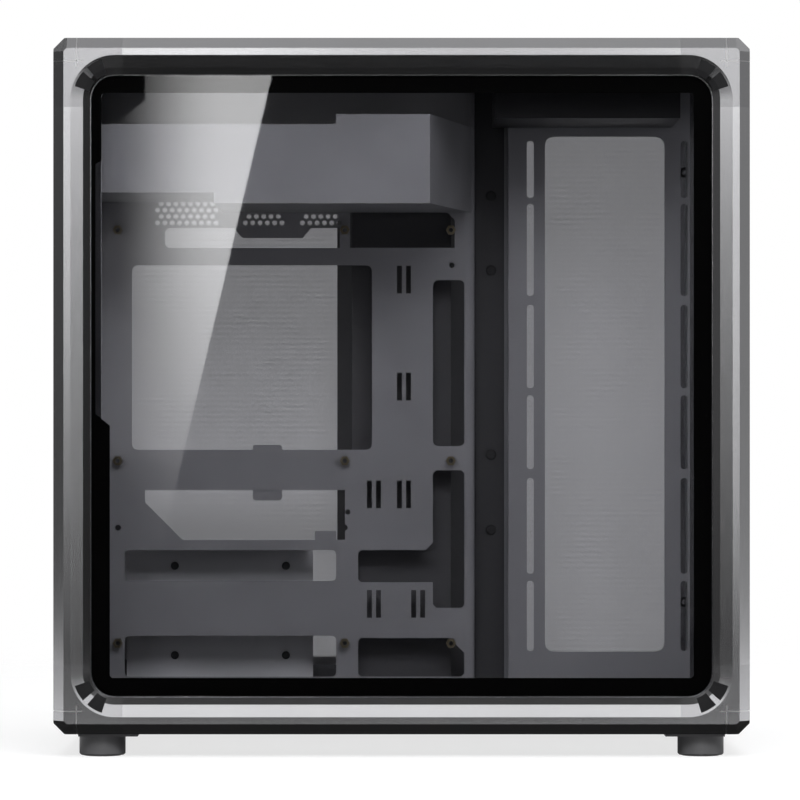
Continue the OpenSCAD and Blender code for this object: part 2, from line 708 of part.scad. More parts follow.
module psu_shroud() {
    step_z = shroud_z + shroud_step;
    front_x = shroud_end_x + shroud_slant;
    low_z = shroud_z + shroud_face_h;
    high_z = low_z + shroud_rise;
    rise_x = shroud_end_x - shroud_rise_len;
    color("dimgray") {
        // Face, with its lower edge stepped like the underside and its top edge raised at the front
        plate_xz(shroud_y, sheet_t) polygon([
            [rear_in_x, low_z], [rear_in_x, step_z], [shroud_step_x, step_z], [shroud_step_x, shroud_z],
            [shroud_end_x, shroud_z], [shroud_end_x, high_z], [rise_x, high_z], [rise_x, low_z]
        ]);
        // Hem folded back along the top edge
        translate([rear_in_x, shroud_y, low_z - sheet_t]) cube([rise_x - rear_in_x, shroud_hem, sheet_t]);
        // Underside in two levels with the riser between them
        plate_xy(step_z, sheet_t) rect(rear_in_x, shroud_step_x, shroud_y, tray_y);
        plate_xy(shroud_z, sheet_t) polygon([
            [shroud_step_x - sheet_t, shroud_y], [shroud_end_x, shroud_y], [front_x, tray_y],
            [shroud_step_x - sheet_t, tray_y]
        ]);
        plate_yz(shroud_step_x - sheet_t, sheet_t) rect(shroud_y, tray_y, shroud_z, step_z + sheet_t);
        // Slanted end wall
        plate_xy(shroud_z, high_z - shroud_z) polygon([
            [shroud_end_x - sheet_t, shroud_y], [shroud_end_x, shroud_y], [front_x, tray_y],
            [front_x - sheet_t, tray_y]
        ]);
    }
}

module fan_bracket() {
    fan_x = case_len / 2 - fan_in;
    x1 = bracket_x0 + bracket_w;
    // Middle and length of each screw slot, from the bottom of the frame
    slots = [[373.5, 39], [318.5, 63], [252.5, 57], [194, 50.5], [130, 65.5], [68.5, 48]];
    strip_holes = [356, 305, 178.5, 127];
    win_z = foot_h + fan_window_z;
    win_x = fan_x - 1.5;
    win_half = fan_window_w / 2;
    win_r = 6;
    lip_depth = 7;
    bracket_top = ceiling_z;
    color("dimgray") {
        plate_xz(tray_y, sheet_t) difference() {
            rect(bracket_x0, x1, floor_z, bracket_top);
            soft_rect(win_x - win_half, win_x + win_half, win_z, win_z + fan_window_h, win_r);
            for (s = slots, sx = [-1, 1])
                translate([fan_x + sx * fan_pitch / 2, foot_h + s[0]]) rotate(90)
                    screw_slot(s[1], fan_slot_w);
        }
        // Drawn lip round the window
        plate_xz(tray_y, lip_depth) difference() {
            soft_rect(win_x - win_half - sheet_t, win_x + win_half + sheet_t, win_z - sheet_t,
                      win_z + fan_window_h + sheet_t, win_r + sheet_t);
            soft_rect(win_x - win_half, win_x + win_half, win_z, win_z + fan_window_h, win_r);
        }
        // Step back to the recessed strip, and the strip with its holes
        translate([bracket_x0, tray_y, floor_z]) cube([sheet_t, recess_d + sheet_t, bracket_top - floor_z]);
        plate_xz(recess_y, sheet_t) difference() {
            rect(tray_front_x - 6, bracket_x0 + sheet_t, floor_z, bracket_top);
            for (z = strip_holes)
                translate([(tray_front_x + bracket_x0) / 2, foot_h + z]) circle(d = 5, $fn = hole_fn);
        }
        // Front and floor flanges
        translate([x1 - sheet_t, tray_y, floor_z]) cube([sheet_t, 30, bracket_top - floor_z]);
        translate([bracket_x0, tray_y, floor_z]) cube([bracket_w, 20, sheet_t]);
    }
}

module cable_channel() {
    face = 34;
    skirt = 44.5;
    y0 = tray_y + 25;
    y1 = y0 + 30;
    mid_x = tray_front_x - 50;
    color("gray") {
        translate([mid_x, 0, 0]) plate_xy(floor_z, ceiling_z - floor_z) polygon([
            [-skirt, y1], [-face, y0], [face, y0], [skirt, y1], [skirt - 1.4, y1], [face - 0.8, y0 + sheet_t],
            [-face + 0.8, y0 + sheet_t], [-skirt + 1.4, y1]
        ]);
        // Tabs that carry the channel on the tray
        for (z = [floor_z + 6, board_z - 200, board_z + 30])
            translate([mid_x - 12, tray_y + sheet_t, z]) cube([14, y0 - tray_y - sheet_t, sheet_t]);
    }
}

module ssd_plate() {
    pitch_x = 76.6;
    pitch_z = 61.72;
    mid_x = board_x + 75.6;
    mid_z = board_z - 261.2;
    y0 = tray_y + 36;
    half_w = 57;
    half_h = 47;
    color("gray") {
        plate_xz(y0, sheet_t) difference() {
            soft_rect(mid_x - half_w, mid_x + half_w, mid_z - half_h, mid_z + half_h, 1);
            for (sx = [-1, 1], sz = [-1, 1])
                translate([mid_x + sx * pitch_x / 2, mid_z + sz * pitch_z / 2]) circle(d = 4, $fn = hole_fn);
        }
        for (sz = [0, 1])
            translate([mid_x - half_w + 2, tray_y + sheet_t, mid_z - half_h + sz * (2 * half_h - sheet_t)])
                cube([2 * half_w - 4, y0 - tray_y - sheet_t + cut / 2, sheet_t]);
    }
}

// Foot with its plate, drawn from the outer corner above it
module foot(sx, sy) {
    pad_recess = 2;
    pad_proud = 0.5;
    color("black") at_corner(sx, sy, -1) translate([foot_in, foot_in, -foot_h]) difference() {
        union() {
            rotate_extrude($fn = 64) polygon([
                [0, pad_proud], [foot_d / 2 - 1, pad_proud], [foot_d / 2, pad_proud + 1],
                [foot_d / 2, foot_h], [0, foot_h]
            ]);
            translate([-foot_d / 2, -foot_d / 2, foot_h - foot_plate_t])
                cube([foot_d / 2 + foot_plate_in, foot_d / 2 + foot_plate_in, foot_plate_t]);
        }
        translate([0, 0, -cut]) cylinder(d = pad_d + 0.4, h = pad_recess + pad_proud + cut, $fn = 48);
        cylinder(d = foot_bore + 0.3, h = foot_h + cut, $fn = hole_fn);
    }
}
module foot_pads() {
    color("dimgray") for (sx = [-1, 1], sy = [-1, 1])
        at_corner(sx, sy, -1) translate([foot_in, foot_in, -foot_h]) difference() {
            cylinder(d = pad_d, h = 2.5, $fn = 48);
            translate([0, 0, -cut]) cylinder(d = foot_bore + 4, h = 2.5 + 2 * cut, $fn = hole_fn);
        }
}

// Places and sizes of the sockets, shared by the bezel and the board
usb_y = [strip_y - 8, strip_y + 10];
usb_c_y = strip_y + 26;
jack_y = strip_y + 41;
usb_size = [6.4, 14.4];
usb_c_size = [3.4, 9.2];
jack_d = 7;

// Walls of the socket housing, between the shroud and the front glass
housing_x0 = strip_x - 98;
housing_x1 = strip_x + 24;
housing_y0 = strip_y - strip_len / 2 - 3;
housing_y1 = tray_y - 1;
lid_gap = 0.2;

module housing_outline(inset) {
    rect(housing_x0 + inset, housing_x1 - inset, housing_y0 + inset, housing_y1 - inset);
}
module io_housing() {
    color("black") {
        plate_xy(housing_z, frame_top - fold_depth - panel_t - lid_gap - housing_z) difference() {
            housing_outline(0);
            housing_outline(housing_t);
        }
        plate_xy(housing_z, housing_t) housing_outline(0);
    }
}
module io_bezel() {
    color("black") difference() {
        union() {
            translate([strip_x, strip_y, strip_top - 2]) linear_extrude(2)
                polygon(round_rect(strip_w - 0.6, strip_len - 0.6, 3.7, 4));
            plate_xy(strip_top - 3.4, 1.4) housing_outline(housing_t + lid_gap);
        }
        translate([strip_x, button_y, strip_top - 5]) cylinder(d = button_d + 2 * button_gap, h = 8, $fn = 48);
        for (y = usb_y) translate([strip_x, y, strip_top - 1])
            cube([usb_size[0] + 0.4, usb_size[1] + 0.4, 8], center = true);
        translate([strip_x, usb_c_y, strip_top - 1])
            cube([usb_c_size[0] + 0.4, usb_c_size[1] + 0.4, 8], center = true);
        translate([strip_x, jack_y, strip_top - 5]) cylinder(d = jack_d + 0.4, h = 8, $fn = 48);
    }
}
module io_board() {
    color("darkgreen") plate_xy(board_top_z - 1.6, 1.6)
        translate([strip_x, strip_y]) square([strip_w + 8, strip_len - 2], center = true);
    color("darkgreen") for (s = [-1, 1])
        translate([strip_x, strip_y + s * 44, housing_z + housing_t])
            cylinder(d = 6, h = board_top_z - 1.6 - housing_z - housing_t, $fn = hole_fn);
}
module usb_sockets() {
    h = strip_top - 0.3 - board_top_z;
    color("silver") {
        for (y = usb_y) translate([strip_x, y, board_top_z]) difference() {
            translate([0, 0, h / 2]) cube([usb_size[0], usb_size[1], h], center = true);
            translate([0, 0, h / 2 + 1.5]) cube([usb_size[0] - 1, usb_size[1] - 1, h], center = true);
        }
        translate([strip_x, usb_c_y, board_top_z]) difference() {
            translate([0, 0, h / 2]) cube([usb_c_size[0], usb_c_size[1], h], center = true);
            translate([0, 0, h / 2 + 1.5]) cube([usb_c_size[0] - 0.8, usb_c_size[1] - 0.8, h], center = true);
        }
    }
}
module usb_tongues() {
    h = strip_top - 2.5 - board_top_z - 1.5;
    color("royalblue") {
        for (y = usb_y) translate([strip_x - usb_size[0] / 2 + 0.5, y - 6, board_top_z + 1.5])
            cube([2, 12, h]);
        translate([strip_x - 0.35, usb_c_y - 3.3, board_top_z + 1.5]) cube([0.7, 6.6, h]);
    }
}
module audio_jack() {
    h = strip_top - 0.3 - board_top_z;
    color("black") translate([strip_x, jack_y, board_top_z]) difference() {
        cylinder(d = jack_d, h = h, $fn = 48);
        translate([0, 0, 1.5]) cylinder(d = 3.6, h = h, $fn = hole_fn);
    }
}
module power_switch() {
    color("gray") translate([strip_x, button_y, board_top_z]) {
        translate([-3, -3, 0]) cube([6, 6, 3.5]);
        cylinder(d = 3.4, h = 4.2, $fn = hole_fn);
    }
}
module power_button() {
    stem_z = board_top_z + 4.2 + button_travel + 0.3;
    under = strip_top - 3.4 - 0.3;
    color("silver") {
        translate([strip_x, button_y, under - 1.4]) difference() {
            union() {
                cylinder(d = button_d + 3, h = 1.4, $fn = 48);
                cylinder(d = button_d, h = strip_top + button_proud - under + 1.4, $fn = 48);
            }
            translate([0, 0, -cut]) cylinder(d = button_d - 3, h = 3 + cut, $fn = 48);
        }
        translate([strip_x, button_y, stem_z]) cylinder(d = 4, h = strip_top - stem_z, $fn = hole_fn);
    }
}

// Screws with large heads that hold the supply plate to the rear panel
module thumbscrews() {
    color("black") for (y = thumb_y) translate([rear_in_x - sheet_t, y, thumb_z]) rotate([0, -90, 0]) {
        cylinder(d = 8, h = 6, $fn = 32);
        translate([0, 0, -2 * sheet_t - 2]) cylinder(d = 2.8, h = 2 * sheet_t + 2 + cut, $fn = hole_fn);
    }
}

rail_x(-1, 1);  // rail_top_left
rail_x(1, 1);  // rail_top_right
rail_x(-1, -1);  // rail_bottom_left
rail_x(1, -1);  // rail_bottom_right
rail_y(1, 1);  // rail_front_top
rail_y(1, -1);  // rail_front_bottom
rail_y(-1, 1);  // rail_rear_top
rail_y(-1, -1);  // rail_rear_bottom
post(1, -1);  // post_front_left
post(1, 1);  // post_front_right
post(-1, -1);  // post_rear_left
post(-1, 1);  // post_rear_right
corner_piece(1, -1, 1);  // corner_front_top_left
corner_piece(1, 1, 1);  // corner_front_top_right
corner_piece(-1, -1, 1);  // corner_rear_top_left
corner_piece(-1, 1, 1);  // corner_rear_top_right
corner_piece(1, -1, -1);  // corner_front_bottom_left
corner_piece(1, 1, -1);  // corner_front_bottom_right
corner_piece(-1, -1, -1);  // corner_rear_bottom_left
corner_piece(-1, 1, -1);  // corner_rear_bottom_right
side_glass();
side_glass_studs();
front_glass();
right_panel();
right_panel_studs();
top_panel();
top_filter();
bottom_panel();
bottom_filter();
rear_panel();
psu_bracket();
motherboard_tray();
tray_edges();
standoffs();
psu_shroud();
fan_bracket();
cable_channel();
ssd_plate();
foot(1, -1);  // foot_front_left
foot(1, 1);  // foot_front_right
foot(-1, -1);  // foot_rear_left
foot(-1, 1);  // foot_rear_right
foot_pads();
slot_cover(0);  // slot_cover_1
slot_cover(1);  // slot_cover_2
slot_cover(2);  // slot_cover_3
slot_cover(3);  // slot_cover_4
slot_cover(4);  // slot_cover_5
slot_cover(5);  // slot_cover_6
slot_cover(6);  // slot_cover_7
slot_screws();
io_housing();
io_bezel();
io_board();
usb_sockets();
usb_tongues();
audio_jack();
power_switch();
power_button();
thumbscrews();
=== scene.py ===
import math

import bmesh
import bpy
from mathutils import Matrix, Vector


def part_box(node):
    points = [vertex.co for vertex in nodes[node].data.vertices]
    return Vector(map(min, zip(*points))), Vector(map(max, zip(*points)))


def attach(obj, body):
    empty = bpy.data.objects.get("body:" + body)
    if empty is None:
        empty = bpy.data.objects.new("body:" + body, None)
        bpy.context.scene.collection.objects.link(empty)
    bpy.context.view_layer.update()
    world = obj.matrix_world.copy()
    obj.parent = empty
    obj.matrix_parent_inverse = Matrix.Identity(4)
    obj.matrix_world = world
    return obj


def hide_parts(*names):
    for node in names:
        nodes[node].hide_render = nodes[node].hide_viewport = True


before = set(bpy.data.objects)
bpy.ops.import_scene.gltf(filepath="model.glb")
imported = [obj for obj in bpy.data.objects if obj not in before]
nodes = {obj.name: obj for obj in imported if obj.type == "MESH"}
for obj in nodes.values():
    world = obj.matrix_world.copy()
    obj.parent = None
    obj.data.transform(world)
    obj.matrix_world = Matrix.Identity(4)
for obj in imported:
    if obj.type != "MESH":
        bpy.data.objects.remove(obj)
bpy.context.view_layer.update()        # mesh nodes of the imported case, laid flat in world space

# Camera: a long lens stands square to the glass side, level, half way up the
# frame. It is so far away that the far panel is only a little smaller.
camera_data = bpy.data.cameras.new("side_view")
camera_data.sensor_width = 36
camera_data.lens = 234.6
camera = bpy.data.objects.new("side_view", camera_data)
camera.location = (-0.001, -3.506, 0.231)
camera.rotation_euler = (math.pi / 2, 0, 0)
bpy.context.scene.collection.objects.link(camera)
bpy.context.scene.camera = camera
bpy.context.scene.view_settings.view_transform = "Standard"


# Studio: a pale round sweep lies under the case and fades into a white
# surround. Soft boxes hang above and beside it, and a tall window of light
# stands behind the camera, where only polished surfaces show it.
class Shade:
    """An output of a finish's node tree; arithmetic on it adds Math nodes."""

    def __init__(self, tree, out=None):
        self.tree = tree
        self.out = out

    def node(self, kind, settings=None, values=None, out=0):
        """Adds one node with its settings, then the values or links of its sockets."""
        made = self.tree.nodes.new(kind)
        for key, value in (settings or {}).items():
            setattr(made, key, value)
        for key, value in (values or {}).items():
            if isinstance(value, Shade):
                self.tree.links.new(value.out, made.inputs[key])
            else:
                made.inputs[key].default_value = value
        return Shade(self.tree, made.outputs[out] if made.outputs else None)

    def math(self, operation, a, b=0.0):
        return self.node("ShaderNodeMath", {"operation": operation}, {0: a, 1: b})

    def __add__(self, other):
        return self.math("ADD", self, other)

    def __radd__(self, other):
        return self.math("ADD", other, self)

    def __sub__(self, other):
        return self.math("SUBTRACT", self, other)

    def __rsub__(self, other):
        return self.math("SUBTRACT", other, self)

    def __mul__(self, other):
        return self.math("MULTIPLY", self, other)

    def __rmul__(self, other):
        return self.math("MULTIPLY", other, self)

    def range(self, low, high):
        """From nothing at the first limit to one at the second, smoothly and clamped."""
        values = {"Value": self, "From Min": low, "From Max": high}
        return self.node("ShaderNodeMapRange", {"interpolation_type": "SMOOTHSTEP"}, values)

    def blend(self, first, second):
        """Mixes two colours by this value."""
        values = {0: self, 6: (*first, 1), 7: (*second, 1)}
        return self.node("ShaderNodeMix", {"data_type": "RGBA"}, values, 2)

    def surface(self):
        """Makes this shader the material's surface."""
        self.node("ShaderNodeOutputMaterial", {}, {"Surface": self})


def new_finish(name):
    """An empty material, and the start of its node tree."""
    material = bpy.data.materials.new(name)
    material.use_nodes = True
    material.node_tree.nodes.clear()
    return material, Shade(material.node_tree)


def add_object(name, verts, faces, materials=()):
    """A mesh object at the origin, linked to the scene."""
    mesh = bpy.data.meshes.new(name)
    mesh.from_pydata(verts, [], faces)
    mesh.validate()
    for material in materials:
        mesh.materials.append(material)
    made = bpy.data.objects.new(name, mesh)
    bpy.context.scene.collection.objects.link(made)
    return made


def place_axes(start):
    """The three Object coordinates, one value each."""
    place = start.node("ShaderNodeTexCoord", out="Object")
    return [place.node("ShaderNodeSeparateXYZ", {}, {0: place}, axis) for axis in range(3)]


def seen_directly(start):
    """One for rays of the camera, of gloss and through glass, or else nothing."""
    kinds = ("Is Camera Ray", "Is Glossy Ray", "Is Transmission Ray")
    camera_ray, glossy_ray, glass_ray = [start.node("ShaderNodeLightPath", out=k) for k in kinds]
    return camera_ray + glossy_ray + glass_ray


room_light = 0.38
world = bpy.data.worlds.new("surround")
world.use_nodes = True
world.node_tree.nodes.clear()
world_start = Shade(world.node_tree)
direct = seen_directly(world_start)
world_light = world_start.node("ShaderNodeBackground", {}, {
    "Color": (1, 1, 1, 1), "Strength": direct * (1 - room_light) + room_light})
world_light.node("ShaderNodeOutputWorld", {}, {"Surface": world_light})
bpy.context.scene.world = world

floor_finish, start = new_finish("pale_sweep")
floor_x, floor_y = place_axes(start)[:2]
radius = start.math("SQRT", floor_x * floor_x + floor_y * floor_y)
sweep = start.node("ShaderNodeBsdfDiffuse", {}, {"Color": (0.34, 0.34, 0.345, 1)})
glow = start.node("ShaderNodeEmission", {}, {"Strength": seen_directly(start) * 0.74})
lit = start.node("ShaderNodeAddShader", {}, {0: sweep, 1: glow})
clear = start.node("ShaderNodeBsdfTransparent")
start.node("ShaderNodeMixShader", {}, {0: radius.range(0.75, 1.5), 1: lit, 2: clear}).surface()
ring = [(1.6 * math.cos(a), 1.6 * math.sin(a), 0) for a in (math.tau * i / 48 for i in range(48))]
floor = add_object("sweep", ring, [list(range(48))], [floor_finish])


def soft_box(name, place, power, width, height, aim=(0, 0, 0.24)):
    """An area lamp at a place, turned to the case; only the cards show in gloss."""
    data = bpy.data.lights.new(name, "AREA")
    data.shape = "RECTANGLE"
    data.size = width
    data.size_y = height
    data.energy = power
    lamp = bpy.data.objects.new(name, data)
    lamp.location = place
    turn = (Vector(aim) - Vector(place)).to_track_quat("-Z", "Y")
    lamp.rotation_euler = turn.to_euler()
    lamp.visible_camera = False
    lamp.visible_glossy = False
    bpy.context.scene.collection.objects.link(lamp)


soft_box("top_box", (0.1, -0.5, 2.1), 18, 1.6, 1.4)
soft_box("front_box", (0.12, -1.3, 0.92), 14, 1.1, 0.4, (0, 0, 0.35))
soft_box("right_box", (2.3, -1.0, 0.9), 10, 0.9, 1.4)
soft_box("left_box", (-2.3, -1.2, 0.7), 5, 0.7, 1.2)
soft_box("back_box", (0.2, 2.4, 1.2), 8, 1.4, 1.0)


def card(name, corners, strength):
    """A glowing or black card that only gloss shows, from its corner points."""
    finish, start = new_finish(name)
    strength = strength(start) if callable(strength) else strength
    start.node("ShaderNodeEmission", {}, {"Color": (1, 1, 1, 1), "Strength": strength}).surface()
    made = add_object(name, corners, [list(range(len(corners)))], [finish])
    made.visible_camera = False
    made.visible_diffuse = False
    made.visible_transmission = False
    made.visible_shadow = False


def upright(x0, x1, y, z0, z1):
    """Corners of a card across the view."""
    return [(x0, y, z0), (x1, y, z0), (x1, y, z1), (x0, y, z1)]


def alongside(x):
    """Corners of a tall card beside the case."""
    return [(x, -4.4, -0.02), (x, 1.0, -0.02), (x, 1.0, 2.6), (x, -4.4, 2.6)]


def lying(x, y0, y1, z):
    """Corners of a level card, as wide on the left as on the right."""
    return [(-x, y0, z), (x, y0, z), (x, y1, z), (-x, y1, z)]


def band(value, low, high, soft):
    """One between two limits, falling to nothing outside them."""
    return value.range(low - soft, low) * (1 - value.range(high, high + soft))


def wall_glow(start):
    """Wall behind the camera: bright above, a bright band right, a grey one left, else dim."""
    side, depth, height = place_axes(start)
    above = height.range(0.6, 0.72) * (1 - height.range(2.2, 3.2)) * (1.3 - height.range(0.85, 1.05) * 0.36)
    above = above * band(side, -1.6, 1.6, 0.5)
    right = band(side, 0.485, 0.62, 0.03) * 2.4
    left = band(side, -0.62, -0.49, 0.03) * 0.42
    lower = (1 - height.range(0.7, 0.9)) * (right + left)
    return above + lower + band(side, -2.4, 2.4, 0.4) * 0.12


# A graded wall stands behind the camera with a dark curtain before it. Dark flags
# stand left, high up, on the floor and under the case, grey cards overhead and right.
just_over_floor = 0.0008
card("back_wall", upright(-4, 4, -4.62, -0.6, 4.5), wall_glow)
card("curtain", upright(-0.476, 0.472, -4.6, -0.3, 0.725), 0.004)
card("upper_flag", [(-2, -4.6, 3.3), (2, -4.6, 3.3), (2, -1.0, 2.4), (-2, -1.0, 2.4)], 0.03)
card("overhead_card", lying(1.3, -1.0, 1.0, 1.9), 0.43)
card("left_flag", alongside(-1.6), 0.075)
card("right_card", alongside(1.8), lambda start: place_axes(start)[1].range(-1.6, -0.6) * 0.24 + 0.03)
card("floor_flag", lying(2, -4.5, -0.2, just_over_floor),
     lambda start: place_axes(start)[1].range(-0.62, -0.48) * 0.25 + 0.005)
card("under_flag", lying(0.26, -0.17, 0.17, just_over_floor), 0.02)

# The window of light has the outline that it shows in the glass, carried back to
# the plane where it stands.
glass_y, window_y = -0.1413, -4.5
window_edge = [(-0.0836, 0.4408), (-0.1327, 0.231), (-0.163, 0.1019), (-0.1753, 0.0438), (-0.2076, 0.0438),
               (-0.2076, 0.3924), (-0.1979, 0.3988), (-0.1656, 0.4247), (-0.1656, 0.4408)]
carried = 1 + (glass_y - window_y) / (glass_y - camera.location.y)
window_verts = [(camera.location.x + (x - camera.location.x) * carried, window_y,
                 camera.location.z + (z - camera.location.z) * carried) for x, z in window_edge]


def window_glow(start):
    """Fades to the left and towards the floor."""
    side, depth, height = place_axes(start)
    return side.range(-0.43, -0.254) * height.range(-0.036, 0.55) * 7.0


card("window_card", window_verts, window_glow)


# Frame rails and posts: aluminium extrusions, cut to length, bead blasted and
# anodised grey. The drawing lines run along each bar and barely show.
def wear_finish(node_name, material):
    """Gives a finish to the CAD piece of that name."""
    for slot in nodes[node_name].material_slots:
        slot.material = material


def speckle(start, size, stretch=(1, 1, 1)):
    """Fine grain of about this size in metres, drawn out along an axis."""
    place = start.node("ShaderNodeTexCoord", out="Object")
    values = {"Vector": place, "Scale": tuple(1 / s for s in stretch)}
    drawn = start.node("ShaderNodeMapping", {"vector_type": "POINT"}, values)
    return start.node("ShaderNodeTexNoise", {}, {"Vector": drawn, "Scale": 1 / size, "Detail": 3.0})


def toned(mask, colour, swing):
    """The colour, darker and lighter by the swing as the mask goes."""
    darker, lighter = [[c * factor for c in colour] for factor in (1 - swing, 1 + swing)]
    return mask.range(0.3, 0.7).blend(darker, lighter)


def metal(name, colour, rough, stretch=(1, 1, 1), grain=0.0006, depth=0.000003):
    """Bare or anodised metal: its grain moves the roughness and the colour a little."""
    material, start = new_finish(name)
    grit = speckle(start, grain, stretch)
    cloud = speckle(start, 0.05)
    tone = toned(grit * 0.5 + cloud * 0.5, colour, 0.03)
    bump = start.node("ShaderNodeBump", {}, {"Height": grit, "Distance": depth, "Strength": 0.5})
    start.node("ShaderNodeBsdfPrincipled", {}, {
        "Base Color": tone, "Metallic": 1.0, "Roughness": grit * 0.05 + (rough - 0.025),
        "Normal": bump}).surface()
    return material


anodised_grey = (0.6, 0.6, 0.615)
bar_axes = {"x": ((30, 1, 1), ["rail_top_left", "rail_top_right", "rail_bottom_left", "rail_bottom_right"]),
            "y": ((1, 30, 1), ["rail_front_top", "rail_front_bottom", "rail_rear_top", "rail_rear_bottom"]),
            "z": ((1, 1, 30), ["post_front_left", "post_front_right", "post_rear_left", "post_rear_right"])}
for axis, (drawn_out, bars) in bar_axes.items():
    bar_finish = metal("anodised_bar_" + axis, anodised_grey, 0.18, drawn_out)
    for bar in bars:
        wear_finish(bar, bar_finish)

# Corner blocks: die-cast alloy with a satin metallic coat, a tone darker than
# the bars that plug into them.
block_finish = metal("cast_block", (0.54, 0.54, 0.555), 0.22, grain=0.0009, depth=0.000006)
blocks = [n for n in nodes if n.startswith("corner_")]
for block in blocks:
    wear_finish(block, block_finish)


# Cap seams: a bright polished strip is laid in the groove round the cap of each block,
# across both faces and the chamfer between them, as a painted highlight where the groove's edges catch
# light.
def meshed(name, material, *solids):
    """One object of several closed shapes, each of points and faces, turned outwards."""
    shape = bmesh.new()
    for points, faces in solids:
        corners = [shape.verts.new(point) for point in points]
        for face in faces:
            shape.faces.new([corners[i] for i in face])
    bmesh.ops.recalc_face_normals(shape, faces=shape.faces[:])
    made = add_object(name, [], [], [material])
    shape.to_mesh(made.data)
    shape.free()
    return made


frame_middle = (0, 0, 0.24)


def outer_corner(block):
    """The corner of a block's box that is furthest from the middle of the frame."""
    low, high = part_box(block)
    return [h if h + l > 2 * m else l for l, h, m in zip(low, high, frame_middle)]


def from_corner(outermost, arm, along, u, v):
    """A point from a block's outermost corner: along one arm, and across by u and v."""
    inward = [0.0, 0.0, 0.0]
    inward[arm], inward[(arm + 1) % 3], inward[(arm + 2) % 3] = along, u, v
    return tuple(c - math.copysign(d, c - m) for c, d, m in zip(outermost, inward, frame_middle))


# The strip's near-white metal is a painted highlight along each seam.
highlight_strip_metal = metal("polished_wire_painted_highlight", (0.93, 0.93, 0.94), 0.3, depth=0.0)
wire_ends = (0.01505, 0.01555)
wire = [(0.019, 0.00005), (0.00702, 0.00005), (0.00005, 0.00702), (0.00005, 0.019),
        (0.0005, 0.019), (0.0005, 0.0072), (0.0072, 0.0005), (0.019, 0.0005)]
size = len(wire)
rim = list(range(size))
wire_faces = [rim, [i + size for i in rim]]
wire_faces += [(i, (i + 1) % size, (i + 1) % size + size, i + size) for i in rim]
for block in blocks:
    outermost = outer_corner(block)
    highlight_wires = []
    for arm in range(3):
        points = [from_corner(outermost, arm, along, u, v) for along in wire_ends for u, v in wire]
        highlight_wires.append((points, wire_faces))
    seam = meshed(block + "_wires", highlight_strip_metal, *highlight_wires)
    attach(seam, "chassis")


# Corner pads: two black pads lie in the bevel of each side opening's corners, one on
# each side of a bare rib, as painted shade where the corner's pockets lie in shade.
def coated(name, colour, rough, grain=0.0007, depth=0.00004, specular=0.5):
    """Powder coat, paint or moulded plastic with a fine texture."""
    material, start = new_finish(name)
    peel = speckle(start, grain)
    tone = toned(speckle(start, 0.06), colour, 0.07)
    bump = start.node("ShaderNodeBump", {}, {"Height": peel, "Distance": depth, "Strength": 0.5})
    start.node("ShaderNodeBsdfPrincipled", {}, {
        "Base Color": tone, "Roughness": peel * 0.16 + (rough - 0.08), "Specular IOR Level": specular,
        "Normal": bump}).surface()
    return material


def shade_pad(outermost, turn_from, turn_to):
    """Points and faces of one pad, between two turns away from the corner's diagonal."""
    centre, throat_r, face_r = 0.04, 0.0205, 0.0285
    throat_sunk, bevel_slope, throat_slope = 0.0012, 0.15, 0.4
    radii = [0.0172, 0.0188, throat_r, 0.0243, 0.0281]
    row = 7
    turns = [math.radians(225 + turn_from + (turn_to - turn_from) * j / (row - 1)) for j in range(row)]
    points = []
    for lift in (-0.0002, 0.0004):
        for radius in radii:
            sunk = (face_r - radius) * bevel_slope
            if radius <= throat_r:
                sunk = throat_sunk + (throat_r - radius) * throat_slope
            for turn in turns:
                u, v = centre + radius * math.cos(turn), centre + radius * math.sin(turn)
                points.append(from_corner(outermost, 0, u, sunk + lift, v))
    top = row * len(radii)
    faces = []
    for first in range(0, top - row, row):
        for a in range(first, first + row - 1):
            faces.append((a, a + 1, a + row + 1, a + row))
            faces.append((a + top, a + top + row, a + top + row + 1, a + top + 1))
        last = first + row - 1
        faces.append((first, first + row, first + row + top, first + top))
        faces.append((last, last + top, last + top + row, last + row))
    for inner, outer in zip(range(row - 1), range(top - row, top - 1)):
        faces.append((inner, inner + top, inner + top + 1, inner + 1))
        faces.append((outer, outer + 1, outer + top + 1, outer + top))
    return points, faces


# The pads' black is painted shade in the corner pockets.
painted_shade_rubber = coated("painted_shade_rubber", (0.012, 0.012, 0.013), 0.6, specular=0.2)
for block in blocks:
    outermost = outer_corner(block)
    pads = meshed(block + "_buffers", painted_shade_rubber, shade_pad(outermost, 4, 27), shade_pad(outermost, -27, -4))
    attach(pads, "chassis")


# Seat tape: thin black foam, cut in one ring and stuck on the seat lips of both
# side openings, with a hole for each ball stud, so that no panel rattles.
def rounded(half_w, half_h, radius, mid_x, mid_z, steps=8):
    """Corner points of a rectangle with rounded corners, anticlockwise."""
    points = []
    for quarter in range(4):
        sx, sz = ((1, 1), (-1, 1), (-1, -1), (1, -1))[quarter]
        for step in range(steps + 1):
            turn = math.pi / 2 * (quarter + step / steps)
            points.append((mid_x + sx * (half_w - radius) + radius * math.cos(turn),
                           mid_z + sz * (half_h - radius) + radius * math.sin(turn)))
    return points


def cut_sheet(name, material, outlines, thick, place):
    """A flat sheet inside the first outline, less the others; place sets across, up and depth."""
    shape = bmesh.new()
    for outline in outlines:
        points = [shape.verts.new((u, v, 0)) for u, v in outline]
        for a, b in zip(points, points[1:] + points[:1]):
            shape.edges.new((a, b))
    bmesh.ops.triangle_fill(shape, use_beauty=True, edges=shape.edges[:])
    grown = bmesh.ops.extrude_face_region(shape, geom=shape.faces[:])
    for vert in [g for g in grown["geom"] if isinstance(g, bmesh.types.BMVert)]:
        vert.co.z += thick
    for vert in shape.verts:
        vert.co = place(*vert.co)
    bmesh.ops.recalc_face_normals(shape, faces=shape.faces[:])
    made = add_object(name, [], [], [material])
    shape.to_mesh(made.data)
    shape.free()
    return made


stud_r, hole_r = 0.0018, 0.0023


